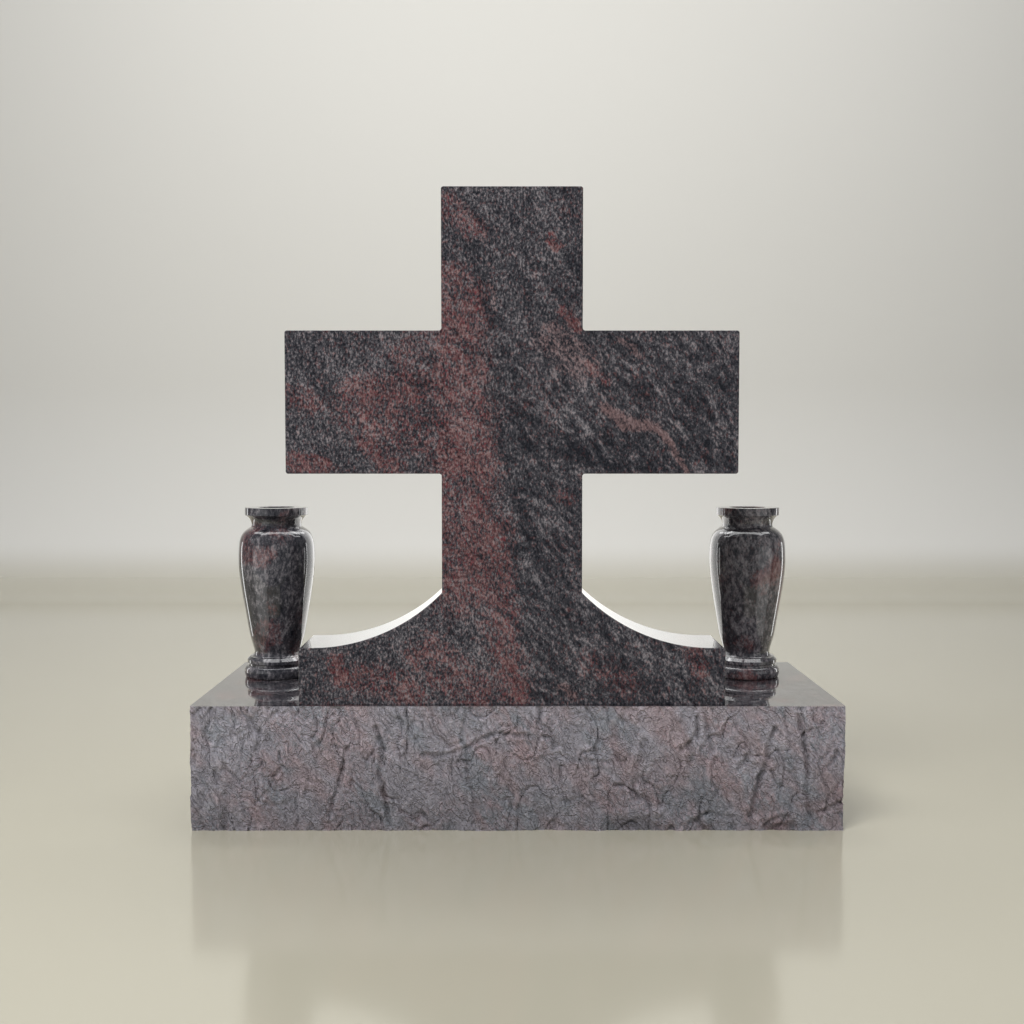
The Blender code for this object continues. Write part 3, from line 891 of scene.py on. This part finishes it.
def granite_colour(
    recipe, look, flow, offset, speckle=1.0, lift=0.0, warmth=0.0, streaking=None, red=(), rose=(), dark=(), pale=()
):
    """The stone's colour: black mica and grey ground, pale threads, garnet and rose grains, drawn out along the flow.

    Less speckle gives softer, broader patches of the same minerals, lift makes them paler and warmth redder. Where
    streaking is given, it says how far the grains are drawn out. The rest are placed marks.
    """
    grain_mm = look.grain / MM
    at = recipe.place(location=offset)
    sway = recipe.wander(at, SWAY_SIZE, 0.55)
    bent = recipe.shifted(at, sway, SWAY_REACH)
    bent = recipe.shifted(bent, recipe.wander(at, RIPPLE_SIZE), RIPPLE_REACH)
    flat = recipe.vector("MULTIPLY", bent, (1.0, 0.0, 1.0))
    along = recipe.vector("MULTIPLY", recipe.turned(bent, flow), (1.0, 0.8, 0.30))
    upright = recipe.vector("MULTIPLY", recipe.shifted(at, sway, SPECK_SWAY_REACH), (1.0, 1.0, 0.62))

    specks = recipe.noise(upright, grain_mm * SPECK, 3.0, 0.66)
    streak = recipe.noise(along, grain_mm * STREAK, 3.0, 0.65)
    streaked = streaking(recipe, bent) if streaking else 1.0
    grain = specks - 0.25 * (specks - 0.5) * streaked + 0.55 * (streak - 0.5) * streaked
    cloud = recipe.noise(along, CLOUD_SIZE, 3.0, 0.62)
    thread = recipe.noise(recipe.shifted(along, (31.0, 0.0, 17.0)), THREAD_SIZE, 3.0, 0.62)
    ridge = 1.0 - recipe.maths("ABSOLUTE", thread * 2.0 - 1.0)
    threads = recipe.remap(ridge, 0.88, 1.0) * recipe.remap(cloud, 0.44, 0.62) * streaked
    glint = recipe.remap(recipe.noise(at, grain_mm * GLINT, 1.0), 0.58, 0.76)
    blush = recipe.remap(recipe.noise(at, BLUSH_SIZE), 0.48, 0.66)
    patch = recipe.noise(recipe.shifted(along, (11.0, 0.0, 50.0)), PATCH_SIZE, 2.0, 0.6)
    tuft = recipe.noise(recipe.shifted(upright, (3.0, 40.0, 8.0)), grain_mm * TUFT, 2.0, 0.6)
    chance = recipe.noise(recipe.shifted(upright, (5.0, 9.0, 3.0)), grain_mm * CHANCE, 3.0, 0.68)
    garnets = recipe.noise(recipe.shifted(upright, (70.0, 3.0, 20.0)), grain_mm * GARNET, 2.0, 0.6)

    softness = 1.0 - speckle
    tone = 0.51 + 2.1 * speckle * (grain - 0.5) + (0.50 + 0.3 * softness) * (cloud - 0.5) + 0.55 * (patch - 0.5)
    tone = tone + (0.45 + 1.1 * softness) * (tuft - 0.5) + lift + 0.10 * threads + 0.16 * glint
    redness = 0.75 * blush + warmth
    if dark:
        tone = tone - 0.17 * streaks(recipe, flat, dark)
    if pale:
        tone = tone + 0.16 * streaks(recipe, flat, pale)
    if red:
        redness = 0.15 * blush + streaks(recipe, flat, red) * recipe.remap(patch, 0.36, 0.62, 0.66, 1.36)

    ground_stops = (
        (0.16, look.dark),
        (0.40, between(look.dark, look.grey, 0.5)),
        (0.56, look.grey),
        (0.74, between(look.grey, look.pale, 0.4)),
        (0.98, look.pale),
    )
    red_stops = ((0.12, look.red_dark), (0.52, look.red), (0.96, look.rose))
    ground = recipe.node("ShaderNodeValToRGB", {"Fac": tone}, stops=ground_stops)
    reds = recipe.node("ShaderNodeValToRGB", {"Fac": tone}, stops=red_stops)
    tinted = recipe.blend(recipe.remap(redness + 4.6 * speckle * (chance - 0.5), 0.20, 1.0, 0.0, 0.95), ground, reds)
    shown = recipe.remap(garnets, 0.57, 0.68, 0.0, 0.62 * speckle**2) * recipe.remap(redness, 0.1, 0.6)
    tinted = recipe.blend(shown, tinted, look.garnet)
    if rose:
        shown = recipe.remap(streaks(recipe, flat, rose) + 3.2 * (grain - 0.5), 0.22, 1.05, 0.0, 0.66)
        tinted = recipe.blend(shown, tinted, recipe.blend(0.5, look.rose, reds))
    return tinted, chance, grain


def right_of_seam(recipe, at):
    """The cross's right half is drawn out in streaks, and its left half and its head are speckled."""
    return recipe.remap(recipe.part(at, 0), -55.0, 40.0) * recipe.remap(recipe.part(at, 2), 560.0, 640.0, 1.0, 0.15)


def polished_granite(name, look, flow, offset, swell=0.0, **pattern):
    """Polished stone under a thin clear film of wax; a swell in millimetres breaks up what it mirrors."""
    recipe = Recipe(name)
    tint, chance, grain = granite_colour(recipe, look, flow, offset, **pattern)
    bump = recipe.bump(recipe.remap(grain, 0.34, 0.42), 0.02, 0.03)
    if swell:
        bump = recipe.bump(recipe.noise(recipe.place(), 9.0, 1.0), swell, Normal=bump)
    # Mica grains take a little less polish than the feldspar round them
    roughness = recipe.remap(chance, 0.3, 0.7, look.polish * 1.5, look.polish * 0.8)
    recipe.surface({"Base Color": tint, "Roughness": roughness, "Normal": bump, "IOR": 1.38})
    recipe.surface({"Coat Weight": 1.0, "Coat Roughness": 0.03, "Coat IOR": 1.35})
    return recipe.material


def broken_granite(name, look, offset):
    """Rock-pitched stone: the same minerals, paler where the crystals are crushed, with painted shade in the hollows
    and towards the ground and painted light on the groove lips.
    """
    recipe = Recipe(name)
    tint, chance, grain = granite_colour(recipe, look, math.radians(-32), offset)
    at = recipe.place()
    swept = recipe.vector("MULTIPLY", recipe.turned(at, 0.6), (1.0, 1.0, 0.5))
    rosy = recipe.blend(recipe.remap(recipe.noise(swept, 40.0, 3.0, 0.6), 0.42, 0.64), look.rock_tint, look.rock_rose)
    blue = recipe.remap(recipe.noise(recipe.shifted(swept, (40.0, 0.0, 9.0)), 28.0, 3.0, 0.6), 0.48, 0.68)
    bruised = recipe.blend(blue, rosy, look.rock_blue)
    crystals = recipe.blend(1.0, tint, (2.2, 2.2, 2.2), "MULTIPLY")
    stone = recipe.blend(0.15, bruised, crystals)
    winding = recipe.shifted(swept, recipe.wander(at, 32.0), 20.0)
    tooth = recipe.noise(at, 1.9, 2.0, 0.6)
    ruck = recipe.noise(winding, 3.6, 2.0, 0.6, 0.6)

    def folds(size, width):
        """Winding folds: a line cut into the stone with the stone raised along one side of it, from -1 to 1; the colour
        paints shade in the line and light on the raised side.
        """
        across = recipe.noise(winding, size) - 0.5
        line = recipe.remap(recipe.maths("ABSOLUTE", across), 0.0, width, 1.0, 0.0)
        ridge = recipe.remap(recipe.maths("ABSOLUTE", across - 1.5 * width), 0.0, width, 1.0, 0.0)
        return ridge - line

    fold = folds(17.0, 0.022) + 0.7 * folds(8.0, 0.045)
    hollow = recipe.node("ShaderNodeAttribute", output="Fac", attribute_name="hollow")
    # Painted shade in the hollows and painted light on the lips beside the grooves, from how deep each point lies
    painted_hollow_shade_and_lip_light = recipe.remap(hollow, -1.4, 2.8, 1.38, 0.70)
    # Painted shade: the stone is darker towards the ground and a little paler near the top
    height = recipe.part(at, 2) + 26.0 * (recipe.noise(at, 30.0) - 0.5)
    painted_shade_towards_ground = recipe.remap(height, -4.0, 150.0, 0.80, 1.10)
    # Painted shade in the fine relief: darker where the rucks and crystals of the bump lie low, paler where they stand
    # high
    mottle = recipe.remap(ruck, 0.3, 0.7, 0.84, 1.16) * recipe.remap(tooth, 0.3, 0.7, 0.82, 1.18)
    # The fold lines are painted dark and their raised sides painted light
    shade = painted_shade_towards_ground * painted_hollow_shade_and_lip_light * mottle * (1.0 + 0.09 * fold)
    shades = recipe.node("ShaderNodeCombineXYZ", {0: shade, 1: shade, 2: shade})
    rough = look.rock_roughness
    recipe.surface(
        {
            "Base Color": recipe.blend(1.0, stone, shades, "MULTIPLY"),
            "Roughness": recipe.remap(chance, 0.3, 0.7, rough * 1.15, rough * 0.8),
            "Normal": recipe.bump(ruck * 1.2 + tooth * 0.5 + grain * 0.2 + 0.35 * fold, 2.0),
            "IOR": 1.5,
        }
    )
    return recipe.material


def sawn_granite(name, look, offset):
    """The underside, left as the saw cut it."""
    recipe = Recipe(name)
    tint, chance, grain = granite_colour(recipe, look, 0.0, offset)
    kerf_sockets = {"Vector": recipe.place(scale=(1.0, 0.05, 1.0)), "Scale": 0.35, "Distortion": 1.5}
    kerf = recipe.node("ShaderNodeTexWave", kerf_sockets, "Fac", bands_direction="X")
    recipe.surface(
        {
            "Base Color": recipe.blend(0.55, tint, look.rock_tint),
            "Roughness": recipe.remap(chance, 0.3, 0.7, 0.75, 0.6),
            "Normal": recipe.bump(kerf + 0.4 * grain, 0.15, 0.4),
        }
    )
    return recipe.material


# Studio

# Soft lights: place, what it faces, width, height and radiance
KEY_LIGHT = ((-0.9, PLINTH_LOW.y - 1.5, 2.6), (0.0, 0.0, 0.15), 1.2, 1.0, 16.8)
TOP_LIGHT = ((0.3, 0.35, 2.4), (0.0, 0.0, 0.2), 1.6, 1.0, 2.2)
WALL_LIGHT = ((0.0, 1.0, 3.0), (0.0, 2.7, 0.7), 3.6, 0.8, 4.15)
BACK_CARD = ((0.0, 1.9, 0.45), (0.0, 0.0, 0.45), 2.4, 0.8, 0.44)
# Lights that face a vase: name, bearing outwards from the vase, distance, width, bottom, top and radiance. The vase is
# lit by the first and only mirrors the others.
VASE_LIGHT = ("softbox", 42.5, 1.15, 0.86, 0.01, 0.61, 1.9)
VASE_CARDS = (
    ("side_card", 42.5, 0.42, 0.314, 0.0, 0.392, 0.75),
    ("inner_card", -135.0, 0.35, 0.326, 0.01, 0.76, 1.5),
    ("inner_strip", -107.0, 0.35, 0.018, 0.06, 0.38, 4.5),
    ("outer_strip", 116.0, 0.50, 0.055, 0.04, 0.38, 3.0),
)
# White cards over each vase that give its shoulder one level line of light: how far towards the cross and back from
# the vase, length, depth and turn in degrees
TOP_CARDS = (
    (-0.12, -0.16, 1.20, 0.34, 11),
    (0.67, 0.32, 0.75, 0.44, 51),
    (0.96, 1.02, 0.60, 0.28, 71),
    (-0.75, 0.14, 0.50, 0.26, -44),
)
TOP_CARD_HEIGHT, TOP_CARD_RADIANCE = 1.0, 4.2


def add_softbox(name, location, target, width, height, radiance):
    """An even rectangular light that faces the target, as bright as the radiance says and unseen by the camera."""
    start_piece()
    bpy.ops.object.light_add(type="AREA", location=location)
    softbox = bpy.context.object
    softbox.name = name
    softbox.data.shape = "RECTANGLE"
    softbox.data.size = width
    softbox.data.size_y = height
    softbox.data.energy = radiance * math.pi * width * height
    softbox.rotation_euler = (Vector(target) - Vector(location)).to_track_quat("-Z", "Y").to_euler()
    softbox.visible_camera = False
    return softbox


def mirror_only(card, receivers):
    """Only the polished pieces in this collection show the card, and only as a reflection."""
    card.visible_diffuse = False
    card.light_linking.receiver_collection = bpy.data.collections[receivers]


def light_vase(side, node):
    """Sets up a vase's light and cards, on the left with side -1 and on the right with side 1."""
    low, high = VASE_BOXES[node]
    vase = (low + high) / 2

    def face_vase(label, bearing, distance, width, bottom, top, radiance):
        angle = side * math.radians(bearing)
        middle = (bottom + top) / 2
        place = Vector((vase.x + distance * math.sin(angle), vase.y - distance * math.cos(angle), middle))
        return add_softbox(f"{node}_{label}", place, (vase.x, vase.y, middle), width, top - bottom, radiance)

    face_vase(*VASE_LIGHT).visible_glossy = False
    for index, (across, back, run, depth, turn) in enumerate(TOP_CARDS):
        over = Vector((vase.x - side * across, vase.y + back, high.z + TOP_CARD_HEIGHT))
        card = add_softbox(f"{node}_top_card_{index + 1}", over, (over.x, over.y, 0.0), run, depth, TOP_CARD_RADIANCE)
        card.rotation_euler = (0.0, 0.0, -side * math.radians(turn))
        mirror_only(card, "vases")
    for card in VASE_CARDS:
        mirror_only(face_vase(*card), "vases")


def add_sheet(name, low, high):
    """A level sheet on the ground between two corners."""
    start_piece()
    bpy.ops.mesh.primitive_plane_add(size=1.0, location=((low[0] + high[0]) / 2, (low[1] + high[1]) / 2, 0.0))
    sheet = bpy.context.object
    sheet.name = name
    sheet.scale = (high[0] - low[0], high[1] - low[1], 1.0)
    bpy.ops.object.transform_apply(location=True, rotation=True, scale=True)
    return sheet


def model_backdrop():
    """The floor, a wide curve and the wall behind in one sheet, and an apron of floor in front of them."""
    half_width, apron_near, near, far = 4.5, -4.8, -0.7, 2.0
    curve_radius, curve_steps, wall_height = 0.7, 16, 3.2
    sheet = add_sheet("studio_sheet", (-half_width, near), (half_width, far))
    bpy.ops.object.mode_set(mode="EDIT")
    select_where("EDGE", lambda edge: all(vert.co.y > far - TINY for vert in edge.verts))
    for index in range(curve_steps):
        before, after = math.pi / 2 * index / curve_steps, math.pi / 2 * (index + 1) / curve_steps
        back, up = math.sin(after) - math.sin(before), math.cos(before) - math.cos(after)
        extrude((0.0, curve_radius * back, curve_radius * up))
    extrude((0.0, 0.0, wall_height))
    bpy.ops.object.mode_set(mode="OBJECT")
    bpy.ops.object.shade_smooth_by_angle(angle=math.radians(30))
    # The polished stone doesn't mirror the apron, which would veil its foot
    apron = add_sheet("studio_apron", (-half_width, apron_near), (half_width, near))
    apron.visible_glossy = False
    return sheet, apron


def studio_paper(settings):
    """Paper with a sheen on the floor, paler and dull where it curves up to the wall."""
    paper = Recipe("studio_paper")
    at = paper.place()
    height = paper.part(at, 2)
    shade = paper.blend(paper.remap(height, 0.0, 160.0), settings.floor_colour, settings.wall_colour)
    mottle = paper.noise(at, 900.0, 2.0, 0.4)
    paper.surface(
        {
            "Base Color": paper.blend(mottle * 0.06, shade, (1.0, 1.0, 1.0)),
            "Roughness": paper.remap(height, 0.0, 200.0, 0.13, 0.95),
            "IOR": 2.2,
        }
    )
    return paper.material


def add_camera(scene):
    """The camera in front of the cross's middle, at the photograph's viewing angle."""
    settings = scene.headstone_studio
    plinth_front = PLINTH_LOW.y + scene.headstone_plinth.arris_setback
    start_piece()
    bpy.ops.object.camera_add(
        location=(CENTRE_X, plinth_front - settings.camera_distance, settings.camera_height),
        rotation=(math.pi / 2 - settings.camera_pitch, 0.0, 0.0),
    )
    camera = bpy.context.object
    camera.name = "studio_camera"
    camera.data.sensor_width = 36.0
    camera.data.lens = settings.lens
    scene.camera = camera


class HEADSTONE_OT_cross(bpy.types.Operator):
    """Models the cross: upright, arms and flared foot, with eased arrises, in polished granite"""

    bl_idname = "headstone.cross"
    bl_label = "Cross"

    def execute(self, context):
        piece = model_cross(context.scene.headstone_cross)
        stone = polished_granite(
            "cross_polished_granite",
            context.scene.headstone_granite,
            math.radians(38),
            (CENTRE_X, CROSS_LOW.y, 0.0),
            streaking=right_of_seam,
            red=CROSS_RED,
            rose=CROSS_ROSE,
            dark=CROSS_DARK,
            pale=CROSS_PALE,
        )
        finish_piece(piece, "cross", [stone])
        gather("cross", piece)
        return {"FINISHED"}


class HEADSTONE_OT_plinth(bpy.types.Operator):
    """Models the plinth: a polished top with a straight arris over four rock-pitched faces"""

    bl_idname = "headstone.plinth"
    bl_label = "Plinth"

    def execute(self, context):
        piece = model_plinth(context.scene.headstone_plinth)
        look = context.scene.headstone_granite
        offset = (0.31, 0.17, 0.05)
        stones = [
            broken_granite("plinth_pitched_granite", look, offset),
            polished_granite("plinth_polished_granite", look, math.radians(60), offset, swell=0.06),
            sawn_granite("plinth_sawn_granite", look, offset),
        ]
        for face in piece.data.polygons:
            if abs(face.normal.z) > SQUARE and face.center.z > PLINTH_HIGH.z - TINY:
                face.material_index = 1
            elif abs(face.normal.z) > SQUARE and face.center.z < PLINTH_LOW.z + TINY:
                face.material_index = 2
        finish_piece(piece, "plinth", stones)
        return {"FINISHED"}


class HEADSTONE_OT_vases(bpy.types.Operator):
    """Turns the two vases in polished granite"""

    bl_idname = "headstone.vases"
    bl_label = "Vases"

    def execute(self, context):
        left = model_vase(context.scene.headstone_vase)
        for side, node, piece, lift, warmth in (
            (-1, "left_vase", left, 0.02, -0.15),
            (1, "right_vase", copy_vase(left), 0.10, 0.16),
        ):
            stone = polished_granite(
                node + "_polished_granite",
                context.scene.headstone_granite,
                math.radians(15 * side),
                (0.11 * side, 0.41 + 0.18 * side, 0.4),
                speckle=0.5,
                lift=lift,
                warmth=warmth,
            )
            finish_piece(piece, node, [stone])
            gather("vases", piece)
        return {"FINISHED"}


class HEADSTONE_OT_studio(bpy.types.Operator):
    """Sets up the floor and backdrop, the soft lights and the camera"""

    bl_idname = "headstone.studio"
    bl_label = "Studio"

    def execute(self, context):
        settings = context.scene.headstone_studio
        sheets = model_backdrop()
        paper = studio_paper(settings)
        for sheet in sheets:
            sheet.data.materials.append(paper)

        add_softbox("key_softbox", *KEY_LIGHT).visible_glossy = False
        add_softbox("top_softbox", *TOP_LIGHT).visible_glossy = False
        mirror_only(add_softbox("top_card", *TOP_LIGHT), "stones")
        add_softbox("backdrop_wash", *WALL_LIGHT)
        mirror_only(add_softbox("back_card", *BACK_CARD), "cross")
        light_vase(-1, "left_vase")
        light_vase(1, "right_vase")

        world = bpy.data.worlds.new("studio_air")
        world.use_nodes = True
        air = world.node_tree.nodes["Background"]
        air.inputs["Color"].default_value = (0.95, 0.97, 1.0, 1.0)
        air.inputs["Strength"].default_value = settings.air
        context.scene.world = world
        context.scene.view_settings.view_transform = "Standard"
        add_camera(context.scene)
        return {"FINISHED"}


class HEADSTONE_PT_panel(bpy.types.Panel):
    """Sidebar panel that lists the steps and their sizes"""

    bl_idname = "HEADSTONE_PT_panel"
    bl_label = "Cross Headstone"
    bl_space_type = "VIEW_3D"
    bl_region_type = "UI"
    bl_category = "Headstone"

    def draw(self, context):
        for step, settings in STEPS:
            box = self.layout.box()
            box.operator(step.bl_idname)
            for group in settings:
                values = getattr(context.scene, group)
                for key in values.__annotations__:
                    box.prop(values, key)


STEPS = (
    (HEADSTONE_OT_plinth, ("headstone_plinth", "headstone_granite")),
    (HEADSTONE_OT_cross, ("headstone_cross",)),
    (HEADSTONE_OT_vases, ("headstone_vase",)),
    (HEADSTONE_OT_studio, ("headstone_studio",)),
)
SETTINGS = {
    "headstone_cross": CrossSizes,
    "headstone_plinth": PlinthSizes,
    "headstone_vase": VaseSizes,
    "headstone_granite": GraniteLook,
    "headstone_studio": StudioSettings,
}


def register():
    for group in SETTINGS.values():
        bpy.utils.register_class(group)
    for step, _ in STEPS:
        bpy.utils.register_class(step)
    bpy.utils.register_class(HEADSTONE_PT_panel)
    for name, group in SETTINGS.items():
        setattr(bpy.types.Scene, name, PointerProperty(type=group))


def unregister():
    for name in SETTINGS:
        delattr(bpy.types.Scene, name)
    bpy.utils.unregister_class(HEADSTONE_PT_panel)
    for step, _ in STEPS:
        bpy.utils.unregister_class(step)
    for group in SETTINGS.values():
        bpy.utils.unregister_class(group)


def main():
    register()
    headstone = bpy.ops.headstone
    for step in (headstone.plinth, headstone.cross, headstone.vases, headstone.studio):
        step()


if __name__ == "__main__":
    main()
